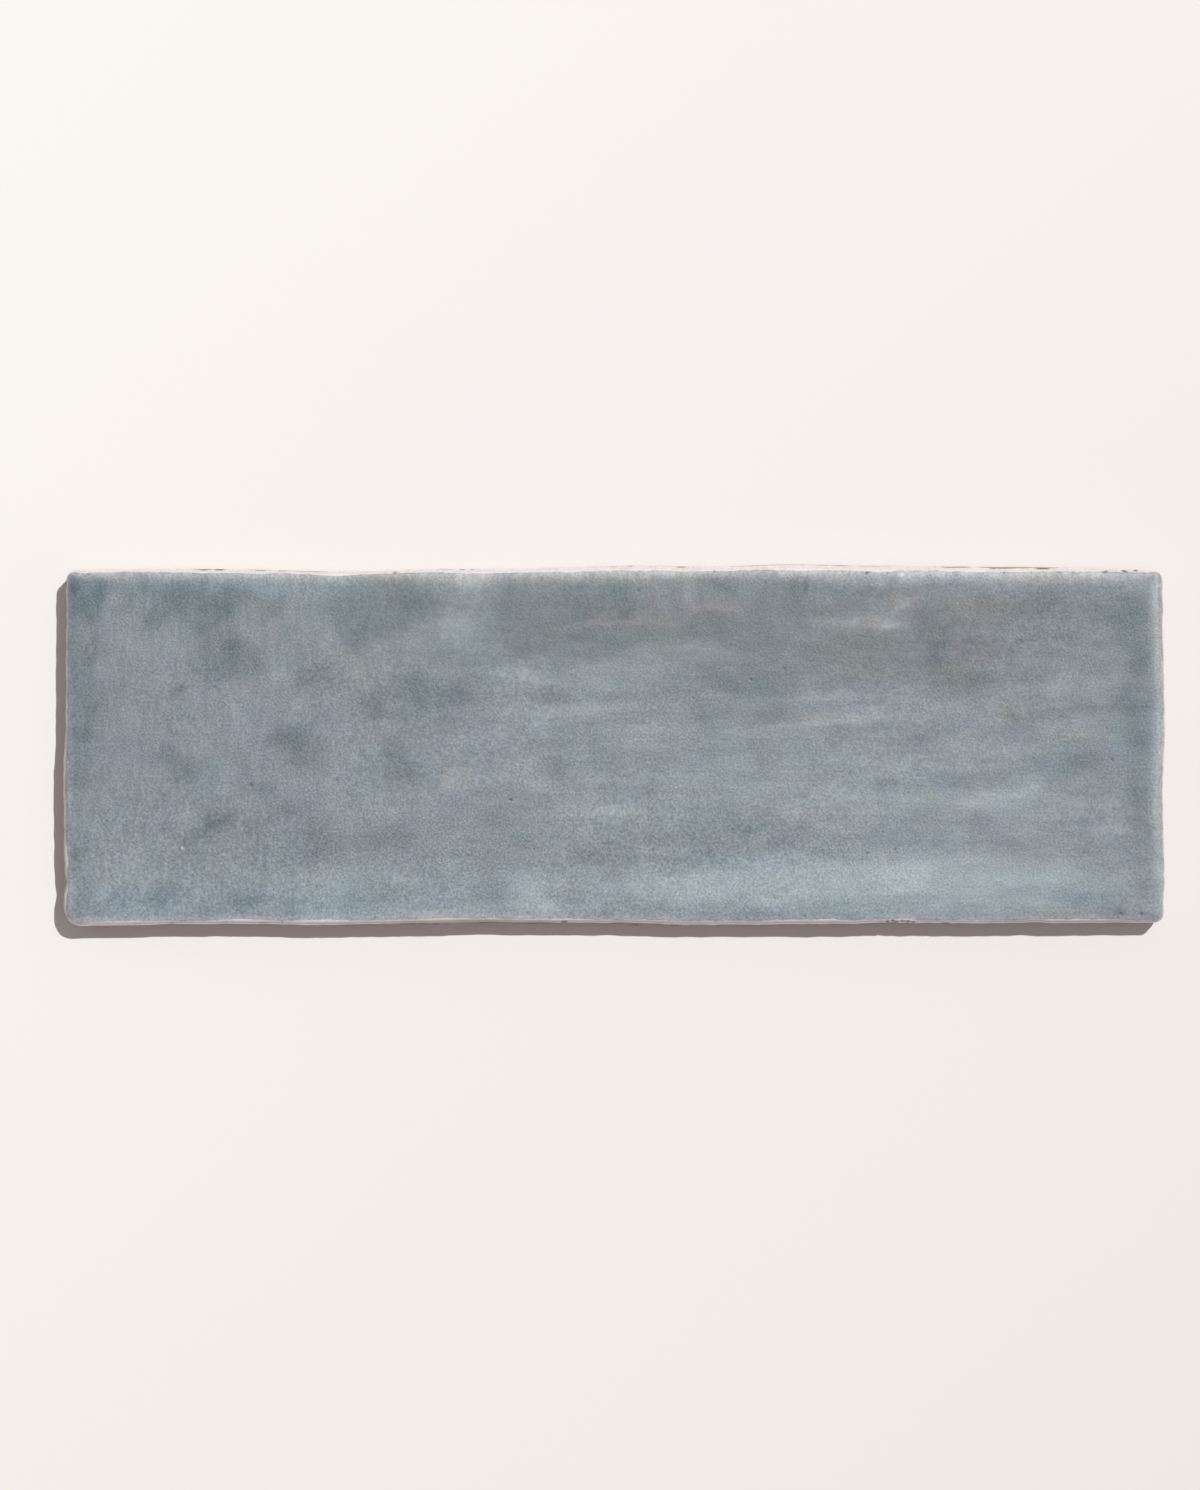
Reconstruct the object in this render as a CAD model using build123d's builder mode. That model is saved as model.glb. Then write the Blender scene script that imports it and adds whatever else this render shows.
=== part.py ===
# Handmade-look glazed wall tile, lying on its back with the glazed face up.
# The origin is the centre of the back, +X along the tile's length and +Z out of the face.
# It is pressed and fired as one piece, so the whole tile is one solid.
import os
from math import cos, floor, pi, sin

from build123d import *

# Driving dimensions, in millimetres
tile_length = 200.0
tile_width = 65.0
tile_thickness = 8.3  # from the back to the face's mean level

shoulder_radius = 1.2  # soft edge all round the face
back_chamfer = 0.5  # broken edge all round the back

# The face isn't flat: it rises and falls in long, low swells
swell_height = 0.22  # of the long swell, either way from the mean level
swell_length = 92.0  # crest to crest along the tile
swell_breadth = 74.0  # crest to crest across the tile
swell_phase = (0.6, -0.9)  # where the tile's centre lies on the swell, along and across, in radians
ripple_height = 0.09  # of the shorter ripple that runs over it
ripple_length = 41.0
ripple_breadth = 33.0
ripple_phase = (-0.4, 0.5)
swell_step = 10.0  # between the points that the face is drawn through
face_overlap = 6.0  # how far the drawn face runs past the tile's edges

# Grooves in the back, which the bedding mortar keys into
groove_width = 5.0
groove_depth = 0.7
groove_pitch = 9.0
groove_border = 12.0  # plain land between the grooves' ends and the tile's short edges
groove_side_land = 5.0  # least plain land beside the outer grooves
groove_draft = 25.0  # slope of the groove walls, in degrees

# The edges wander. Each row is how far an edge stands out from the straight one, in millimetres,
# at even steps from corner to corner, going clockwise round the face.
top_wander = (-0.30, -0.45, -0.80, -0.45, -0.35, 0.20, 0.10, 0.45, 0.20, 0.05, -0.05)
right_wander = (-0.20, -0.05, 0.14, 0.10, -0.22, -0.08, 0.14)
bottom_wander = (-0.27, -0.25, -0.15, -0.09, 0.05, -0.25, -0.45, -0.45, 0.02, -0.09, -0.05)
left_wander = (-0.42, -0.02, 0.10, 0.08, -0.10, -0.25, -0.40)

# Each corner's radius, and how far its two edges stand out there, along X and along Y
top_left_radius = 2.2
top_left_out = (-0.40, -0.45)
top_right_radius = 2.0
top_right_out = (-0.22, -0.50)
bottom_right_radius = 1.8
bottom_right_out = (-0.05, -0.27)
bottom_left_radius = 3.4
bottom_left_out = (0.12, 0.27)


def corner_centre(side_x, side_y, out, radius):
    """The centre of a corner's arc. side_x and side_y say which corner, as 1 or -1."""
    x = side_x * (tile_length / 2 + out[0] - radius)
    y = side_y * (tile_width / 2 + out[1] - radius)
    return Vector(x, y)


def wandering_edge(start, end, outward, straight, wander):
    """A spline from start to end. Its points stand out from the straight edge by the wander."""
    along = outward.rotate(Axis.Z, -90)
    run = (end - start).dot(along)
    points = [start]
    for step, out in enumerate(wander, 1):
        reach = start.dot(along) + run * step / (len(wander) + 1)
        points.append(along * reach + outward * (straight + out))
    points.append(end)
    return Spline(*points, tangents=(along, along))


def face_level(x, y):
    """The height of the face above the back."""
    swell_along = sin(2 * pi * x / swell_length + swell_phase[0])
    swell_across = cos(2 * pi * y / swell_breadth + swell_phase[1])
    ripple_along = cos(2 * pi * x / ripple_length + ripple_phase[0])
    ripple_across = sin(2 * pi * y / ripple_breadth + ripple_phase[1])
    swell = swell_height * swell_along * swell_across
    ripple = ripple_height * ripple_along * ripple_across
    return tile_thickness + swell + ripple


def even_steps(half, step):
    """Places from -half to half, about one step apart."""
    count = max(2, round(half / step))
    return [half * place / count for place in range(-count, count + 1)]


# The wavy face, as one smooth surface that runs past the tile's edges
face_x = even_steps(tile_length / 2 + face_overlap, swell_step)
face_y = even_steps(tile_width / 2 + face_overlap, swell_step)
wavy_face = Face.make_surface_from_array_of_points(
    [[Vector(x, y, face_level(x, y)) for y in face_y] for x in face_x]
)

# The edge all round: four wandering sides, joined by a round corner at each end
top_left = corner_centre(-1, 1, top_left_out, top_left_radius)
top_right = corner_centre(1, 1, top_right_out, top_right_radius)
bottom_right = corner_centre(1, -1, bottom_right_out, bottom_right_radius)
bottom_left = corner_centre(-1, -1, bottom_left_out, bottom_left_radius)

up = Vector(0, 1)
right = Vector(1, 0)
half_length = tile_length / 2
half_width = tile_width / 2

with BuildPart() as tile:
    # Body: the outline, raised past the face and then cut down to it
    with BuildSketch():
        with BuildLine():
            CenterArc(top_left, top_left_radius, 90, 90)
            wandering_edge(
                top_left + up * top_left_radius,
                top_right + up * top_right_radius,
                up,
                half_width,
                top_wander,
            )
            CenterArc(top_right, top_right_radius, 0, 90)
            wandering_edge(
                top_right + right * top_right_radius,
                bottom_right + right * bottom_right_radius,
                right,
                half_length,
                right_wander,
            )
            CenterArc(bottom_right, bottom_right_radius, 270, 90)
            wandering_edge(
                bottom_right - up * bottom_right_radius,
                bottom_left - up * bottom_left_radius,
                -up,
                half_width,
                bottom_wander,
            )
            CenterArc(bottom_left, bottom_left_radius, 180, 90)
            wandering_edge(
                bottom_left - right * bottom_left_radius,
                top_left - right * top_left_radius,
                -right,
                half_length,
                left_wander,
            )
        make_face()
    extrude(amount=tile_thickness + face_overlap)
    split(bisect_by=wavy_face, keep=Keep.BOTTOM)

    # Edges: a soft shoulder round the face and a broken edge round the back
    face_edges = tile.faces().sort_by(Axis.Z)[-1].edges()
    fillet(face_edges, radius=shoulder_radius)
    back_edges = tile.faces().sort_by(Axis.Z)[0].edges()
    chamfer(back_edges, length=back_chamfer)

    # Back: a row of lengthwise grooves, an even number, so that a land runs down the middle
    pairs = floor((half_width - groove_side_land - groove_width / 2) / groove_pitch + 0.5)
    with BuildSketch():
        with GridLocations(0, groove_pitch, 1, 2 * pairs):
            SlotOverall(tile_length - 2 * groove_border, groove_width)
    extrude(amount=groove_depth, taper=groove_draft, mode=Mode.SUBTRACT)

tile.part.label = "tile"

os.makedirs("parts", exist_ok=True)
export_step(tile.part, "parts/tile.step")
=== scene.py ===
import math

import bmesh
import bpy
import numpy as np
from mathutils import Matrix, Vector, noise
from mathutils.bvhtree import BVHTree


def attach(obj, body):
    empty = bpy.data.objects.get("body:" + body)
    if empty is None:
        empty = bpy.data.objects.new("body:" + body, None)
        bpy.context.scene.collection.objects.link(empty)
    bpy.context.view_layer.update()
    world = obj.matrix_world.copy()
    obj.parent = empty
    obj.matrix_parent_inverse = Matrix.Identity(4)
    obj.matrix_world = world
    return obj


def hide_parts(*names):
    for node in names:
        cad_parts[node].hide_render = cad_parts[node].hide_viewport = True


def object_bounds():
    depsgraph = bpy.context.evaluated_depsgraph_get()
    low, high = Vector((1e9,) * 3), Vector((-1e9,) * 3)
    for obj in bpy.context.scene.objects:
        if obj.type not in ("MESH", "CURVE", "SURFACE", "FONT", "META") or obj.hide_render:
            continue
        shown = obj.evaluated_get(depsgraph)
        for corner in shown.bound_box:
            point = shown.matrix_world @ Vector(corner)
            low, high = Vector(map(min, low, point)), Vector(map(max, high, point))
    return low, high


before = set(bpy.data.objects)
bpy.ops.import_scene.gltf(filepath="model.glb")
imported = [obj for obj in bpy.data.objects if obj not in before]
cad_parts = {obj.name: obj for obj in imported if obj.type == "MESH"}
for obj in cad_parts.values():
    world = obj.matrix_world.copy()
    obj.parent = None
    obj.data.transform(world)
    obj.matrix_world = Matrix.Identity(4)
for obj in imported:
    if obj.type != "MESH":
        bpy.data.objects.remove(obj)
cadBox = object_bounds()  # the size that the finished tile keeps to
mm = 0.001  # the scene is in metres, and the lists below are in millimetres

# The fired tile: a fine grid for the face, walls run down from its rim, and the moulded foot closes it
tileForm = {
    "cell": 0.5,  # grid spacing on the face
    "rimCell": 0.22,  # spacing just inside the shoulder, where the glaze breaks
    "cellGrowth": 1.12,
    "shoulder": 1.2,  # radius of the soft edge
    "shoulderLines": 8,
    "ledge": {"top": 0.35, "right": 0.05, "bottom": 0.15, "left": 0.03},  # flat that the shoulder ends in
    "corners": {(-1, 1): 2.2, (1, 1): 2.0, (1, -1): 1.8, (-1, -1): 3.4},  # radii, by side in X and Y
    "cornerBlend": 1.5,  # how far either way one side's values give way to the next side's
    "fitDepth": 5.0,  # how far in from the rim the fit to the wandering outline fades out
    "castFrom": 5.0,  # the outline is felt for from this far outside it
    "castHeight": 4.0,  # at this height
    "castAbove": 20.0,  # and the face from this far above the back
    "flatFrom": 1.25,  # its level is read at least this many shoulder radii in from the rim
    "levelling": (40, 0.5),  # smoothing passes that take the facets out of the face, and their factor
    "rollDepth": 4.0,  # the face rolls off over this much before it meets the rim
    "roll": 0.38,
    "wallRings": 8,
    "wallEnd": 1.7,  # the wall ends here
    "footHeight": 1.2,  # and the moulded foot below it here
    "footEase": 0.45,  # share of the wall's height past which it eases on to the foot
    "wallGrit": ((1.4, 0.05), (6.0, 0.06)),  # size and height of the clay's roughness
    "rimWobble": ((2.4, 0.1), (7.0, 0.12)),  # size and reach of the small unevenness along the outline
    "nicks": [  # on the lower edge: x, half width, depth
        (50.9, 0.7, 0.2), (53.6, 0.9, 0.12), (59.5, 0.8, 0.1),
    ],
    "rimShift": {"top": -0.05, "right": 0.17, "bottom": 0.09, "left": 0.03},  # how far a side stands out
    "rimBumps": [  # and where it swells or sinks: x, y, half length, how far
        (-75, 32, 3.5, -0.25), (-65, 32, 2.5, -0.15), (-55, 32, 4, -0.2), (41, 33, 3.5, -0.2),
        (51, 33, 2, 0.15), (71, 33, 5.5, -0.35), (79, 33, 2.5, -0.2), (85, 32, 3.5, 0.2),
        (77, -32, 2, -0.15), (50, -32, 5, -0.2), (4, -32, 5, -0.25), (-56, -32, 3.5, 0.15),
        (-73, -32, 3, 0.15), (57, -32, 2, -0.2), (-100, -20, 3.5, 0.4), (-100, -23, 1.5, 0.15),
        (-100, -25.5, 1.4, -0.3), (-100, 1.5, 2.5, -0.15), (-100, 8, 8, -0.2),
    ],
    "wallSwells": [  # and where the wall swells out below it
        (-40, -32, 5, 0.3), (-30, -32, 9, 0.55), (-14, -32, 8, 0.35), (4, -32, 5, 0.5), (15, -32, 8, 0.4),
        (30, -32, 8, 0.25), (38, -32, 5, 0.4), (60.5, -32, 2, 0.4), (77, -32, 2, 0.35),
        (-100, -25, 2.5, 0.45),
    ],
    "swellFullness": 0.4,  # how soon a swell of the wall is full, below the rim and above the foot
    "sharpAngle": 40,
}


def lineInsets(half):  # grid lines from the rim to the middle, close together on the shoulder
    lines = tileForm["shoulderLines"]
    insets = [tileForm["shoulder"] * (1 - math.cos(math.pi / 2 * k / lines)) for k in range(lines + 1)]
    step = tileForm["rimCell"]
    while insets[-1] + step < half:
        insets.append(insets[-1] + step)
        step = min(step * tileForm["cellGrowth"], tileForm["cell"])
    insets[-1] = half
    return insets


def smoothStep(low, high, value):
    share = min(1.0, max(0.0, (value - low) / (high - low)))
    return share * share * (3 - 2 * share)


def bySide(values, x, y):  # the nearest side's value, blended round the corners
    blend = tileForm["cornerBlend"]
    share = smoothStep(-blend, blend, (halfLength - abs(x)) - (halfWidth - abs(y)))
    ends = values["right"] if x > 0 else values["left"]
    sides = values["top"] if y > 0 else values["bottom"]
    return ends + (sides - ends) * share


def swelling(bumps, spot):
    total = 0
    for x, y, size, far in bumps:
        total += far * math.exp(-((spot.x - x) ** 2 + (spot.y - y) ** 2) / size ** 2)
    return total


print("tile: foot from the CAD body")
bm = bmesh.new()
rimInset = bm.verts.layers.float.new("rimInset")  # distance in from the outline, mm
bm.from_mesh(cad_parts["tile"].data)
bmesh.ops.remove_doubles(bm, verts=bm.verts, dist=1e-6)
bmesh.ops.scale(bm, vec=(1 / mm,) * 3, verts=bm.verts)  # modelled in millimetres
solid = BVHTree.FromBMesh(bm)
halfLength = max(abs(v.co.x) for v in bm.verts)
halfWidth = max(abs(v.co.y) for v in bm.verts)
topLevel = max(v.co.z for v in bm.verts)
bmesh.ops.bisect_plane(
    bm, geom=bm.verts[:] + bm.edges[:] + bm.faces[:], dist=1e-4,
    plane_co=(0, 0, tileForm["footHeight"]), plane_no=(0, 0, 1), clear_outer=True,
)
for v in bm.verts:
    v[rimInset] = -topLevel  # marks the foot, as every point of the face is at 0 or above

print("tile: face grid, fitted to the outline and the swells")
insetsX = lineInsets(halfLength)
insetsY = lineInsets(halfWidth)
cellsX = 2 * (len(insetsX) - 1)
cellsY = 2 * (len(insetsY) - 1)
faceVerts = bmesh.ops.create_grid(bm, x_segments=cellsX, y_segments=cellsY, size=1)["verts"]
down = Vector((0, 0, -1))
above = Vector((0, 0, tileForm["castAbove"]))
for v in faceVerts:
    i = round((v.co.x + 1) / 2 * cellsX)
    j = round((v.co.y + 1) / 2 * cellsY)
    sideX = -1 if i < cellsX / 2 else 1
    sideY = -1 if j < cellsY / 2 else 1
    radius = tileForm["corners"][sideX, sideY]
    fromX = insetsX[min(i, cellsX - i)]
    fromY = insetsY[min(j, cellsY - j)]
    depth = min(fromX, fromY)
    outward = Vector((sideX, 0, 0)) if fromX < fromY else Vector((0, sideY, 0))
    if fromX < radius and fromY < radius:  # square rings become round ones at the corner
        corner = Vector((radius - fromX, radius - fromY, 0))
        corner *= max(corner) / corner.length
        outward = Vector((sideX * corner.x, sideY * corner.y, 0)).normalized()
        fromX = radius - corner.x
        fromY = radius - corner.y
    spot = Vector((sideX * (halfLength - fromX), sideY * (halfWidth - fromY), 0))
    if depth < tileForm["fitDepth"]:
        start = spot + outward * (depth + tileForm["castFrom"])
        start.z = tileForm["castHeight"]
        wall = solid.ray_cast(start, -outward)[0]
        reach = (wall - start).dot(outward) + tileForm["castFrom"]
        reach += sum(far * noise.noise(spot / size) for size, far in tileForm["rimWobble"])
        reach += bySide(tileForm["rimShift"], spot.x, spot.y)
        reach += swelling(tileForm["rimBumps"], spot)
        for nickX, nickWidth, nickDepth in tileForm["nicks"]:
            if spot.y < 0 and abs(spot.x - nickX) < nickWidth:
                reach -= nickDepth * (1 - abs(spot.x - nickX) / nickWidth)
        spot += outward * reach * (1 - depth / tileForm["fitDepth"]) ** 2
    inside = spot - outward * max(0, tileForm["flatFrom"] * tileForm["shoulder"] - depth)
    spot.z = solid.ray_cast(inside + above, down)[0].z
    v.co = spot
    v[rimInset] = depth
passes, factor = tileForm["levelling"]
for _ in range(passes):
    bmesh.ops.smooth_vert(bm, verts=faceVerts, factor=factor, use_axis_z=True)

# How the glaze lies on the face
glazeCoat = {
    "thickness": 0.06,
    "lip": (0.5, 0.1),  # how far in from its edge the coat thickens, and how far out it thins
    "bare": {"top": 0.95, "right": 0.2, "bottom": 0.72, "left": 0.36},  # bare clay along each edge
    "bareVary": (0.3, 9.0, 40),  # share that it comes and goes by, over what length, and the noise's level
    "barePatches": [  # where it is wider: x, y, reach, more
        (-100, -27, 5, 1.0), (-100, -20.5, 4, 1.4), (-50, 32, 5, 0.5), (-24, 32, 14, 0.3),
        (13, 32, 4, 0.25), (33, 33, 11, 0.4), (48, 33, 5, 0.2), (85, 32, 5, 0.3), (-67, -32, 6, 0.3),
        (-53, -32, 7, 0.3), (-30, -32, 11, 0.5), (-10, -32, 9, 0.4), (39, -32, 4, 0.3), (53, -32, 3, 0.5),
        # the last one bares a pale spot of clay under the painted glint at (52.5, 31.0)
        (52.5, 31, 0.55, 2.2),
    ],
    # the pale frost: thin glaze over the pale clay, and in part painted sheen, reaching further and stronger
    # on the top and right edges, which face the lamp
    "frostAndSheenReach": {"top": 3.1, "right": 2.8, "bottom": 1.8, "left": 1.6},
    "frostAndSheenVary": (0.2, 6.0, 80),  # as for the bare clay
    "frostAndSheen": {"top": 0.9, "right": 0.9, "bottom": 0.7, "left": 0.56},
    "ripple": (0.03, 9.0),  # height and size
    "peel": (0.006, 2.6),
    "rippleFade": 3.0,  # both fade out over this much towards the rim
    "specksAndGlints": [  # pinholes, specks and painted glints: x, y, radius, depth, tone
        (-18.7, -9.9, 0.26, 0.1, -55), (-50.3, -6.3, 0.22, 0.08, -40), (-66.0, -7.2, 0.26, 0.1, -38),
        (46.0, -19.6, 0.25, 0.1, -40), (51.1, -18.9, 0.22, 0.08, -32), (7.0, -19.0, 0.25, 0.08, -32),
        (34.8, -31.2, 0.3, 0.1, -40), (24.9, 12.0, 0.26, 0.1, -38), (31.0, 13.9, 0.24, 0.08, -28),
        (38.6, 15.0, 0.22, 0.06, -25), (73.9, 19.0, 0.3, 0.08, -28), (58.2, 16.0, 0.3, 0.06, -22),
        (90.6, -2.7, 0.25, 0.1, -35), (92.2, -30.7, 0.3, 0.1, -32), (96.0, -30.7, 0.3, 0.1, -36),
        (-71.4, 14.8, 0.26, 0.06, -26), (4.4, 28.2, 0.35, 0.08, -30), (-78.5, -18.7, 0.25, -0.03, 55),
        # the white specks at (52.5, 31.0) and (99.0, 28.9) are painted glints on the upper edge
        (52.5, 31.0, 0.3, -0.03, 60), (99.0, 28.9, 0.3, -0.03, 50), (-73.4, -25.6, 0.28, -0.02, 25),
    ],
    "pinReach": 1.4,  # how far out a pinhole's soft edge runs, in radii
    "chips": [  # small and brown: x, y, half length, half breadth, turn in degrees, strength
        (-95.7, 31.0, 0.5, 0.2, 15, 0.5), (-39.8, 31.35, 0.4, 0.25, 0, 0.6),
        (18.3, 31.6, 0.35, 0.2, 0, 0.6), (46, 31.35, 0.32, 0.25, 0, 0.9), (71, 31.4, 0.25, 0.2, 0, 0.55),
        (81, 31.3, 0.3, 0.2, 0, 0.4), (83.5, 31.4, 0.3, 0.2, 0, 0.5), (89.4, 31.55, 0.5, 0.22, 10, 0.7),
        (92.9, 31.65, 0.55, 0.22, -10, 0.85), (94.9, 31.75, 0.4, 0.18, 0, 0.75),
        (49.8, -32.1, 0.3, 0.25, 0, 0.9), (50.8, -31.9, 0.25, 0.25, 0, 0.8),
        (51.4, -32.2, 0.35, 0.22, 0, 0.9), (52.5, -31.9, 0.3, 0.25, 0, 0.85),
        (53.5, -32.05, 0.3, 0.25, 0, 0.8), (54.5, -32.2, 0.35, 0.22, 0, 0.8),
        (-60.3, -32.1, 0.3, 0.22, 0, 0.6), (-43.4, -31.3, 0.22, 0.2, 0, 0.5),
    ],
    "finerReach": 2.5,  # how far out from a speck or a chip the grid is finer, in radii
    "finerCuts": 2,
}


def comeAndGo(vary, x, y):
    by, length, level = vary
    return 1 + by * noise.noise(Vector((x, y, level)) / length)


def bareClay(x, y):  # how wide the bare clay is at the nearest edge
    share = comeAndGo(glazeCoat["bareVary"], x, y)
    for patchX, patchY, reach, more in glazeCoat["barePatches"]:
        share += more * smoothStep(reach, 0, math.hypot(x - patchX, y - patchY))
    return bySide(glazeCoat["bare"], x, y) * share


def edgeFrostAndSheen(x, y, depth, further, stronger):  # the coat thins to a pale frost over the edge, partly painted sheen where the edge faces the lamp
    reach = bySide(glazeCoat["frostAndSheenReach"], x, y) * further * comeAndGo(glazeCoat["frostAndSheenVary"], x, y)
    thin = 1 - (depth - bareClay(x, y)) / reach
    return bySide(glazeCoat["frostAndSheen"], x, y) * stronger * min(1, max(0, thin)) ** 2


print("tile: shoulder, glaze relief and pinholes")
for x, y, radius, *_ in glazeCoat["specksAndGlints"] + glazeCoat["chips"]:  # more points where one of them goes
    finer = glazeCoat["finerReach"] * radius
    near = [v for v in faceVerts if abs(v.co.x - x) < finer and abs(v.co.y - y) < finer]
    edges = list(dict.fromkeys(e for v in near for e in v.link_edges if e.other_vert(v) in near))
    bmesh.ops.subdivide_edges(bm, edges=edges, cuts=glazeCoat["finerCuts"], use_grid_fill=True)
    rimInset = bm.verts.layers.float["rimInset"]
    faceVerts = [v for v in bm.verts if v[rimInset] >= 0]
for v in faceVerts:
    depth = v[rimInset]
    x, y, _ = v.co
    radius = tileForm["shoulder"]
    if depth < radius:
        low = bySide(tileForm["ledge"], x, y)
        v.co.z -= radius - math.sqrt(max(0, radius ** 2 - (radius - max(depth, low)) ** 2))
    if depth < tileForm["rollDepth"]:
        v.co.z -= tileForm["roll"] * (1 - depth / tileForm["rollDepth"]) ** 3
    edge = bareClay(x, y)
    lipIn, lipOut = glazeCoat["lip"]
    v.co.z -= glazeCoat["thickness"] * smoothStep(edge + lipIn, edge - lipOut, depth)
    place = Vector((x, y, 0))
    for height, size in (glazeCoat["ripple"], glazeCoat["peel"]):
        v.co.z += height * noise.noise(place / size) * smoothStep(0, glazeCoat["rippleFade"], depth)
    for pinX, pinY, pinRadius, pinDepth, _ in glazeCoat["specksAndGlints"]:
        off = math.hypot(x - pinX, y - pinY) / pinRadius
        if off < glazeCoat["pinReach"]:
            v.co.z -= pinDepth * smoothStep(glazeCoat["pinReach"], 0, off)

print("tile: walls")
faceSet = set(faceVerts)
footRim = [e for e in bm.edges if e.is_boundary and e.verts[0] not in faceSet]
rim = [e for e in bm.edges if e.is_boundary and e.verts[0] in faceSet]
for ring in range(tileForm["wallRings"], 0, -1):
    made = bmesh.ops.extrude_edge_only(bm, edges=rim)["geom"]
    rim = [e for e in made if isinstance(e, bmesh.types.BMEdge) and e.is_boundary]
    for v in {v for e in rim for v in e.verts}:
        step = (v.co.z - tileForm["wallEnd"]) / ring
        v.co.z -= step
        v[rimInset] -= step
bmesh.ops.bridge_loops(bm, edges=rim + footRim)
bmesh.ops.recalc_face_normals(bm, faces=bm.faces)
bm.normal_update()
for f in bm.faces:
    f.smooth = True
    f.material_index = 0 if all(v in faceSet for v in f.verts) else 1  # glaze on the face, clay on the rest
for v in bm.verts:
    if -topLevel < v[rimInset] < 0:
        drop = -v[rimInset]
        share = drop / (drop + v.co.z - tileForm["wallEnd"])
        fullness = max(0, math.sin(math.pi * share)) ** tileForm["swellFullness"]
        swell = swelling(tileForm["wallSwells"], v.co) * fullness
        swell += sum(far * noise.noise(v.co / size) for size, far in tileForm["wallGrit"])
        foot = solid.find_nearest(v.co)[0]
        v.co = (v.co + v.normal * swell).lerp(foot, smoothStep(tileForm["footEase"], 1, share))
bmesh.ops.scale(bm, vec=(mm,) * 3, verts=bm.verts)
tileMesh = bpy.data.meshes.new("firedTile")
bm.to_mesh(tileMesh)
bm.free()
tileMesh.set_sharp_from_angle(angle=math.radians(tileForm["sharpAngle"]))
tile = bpy.data.objects.new("firedTile", tileMesh)
bpy.context.scene.collection.objects.link(tile)
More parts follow.
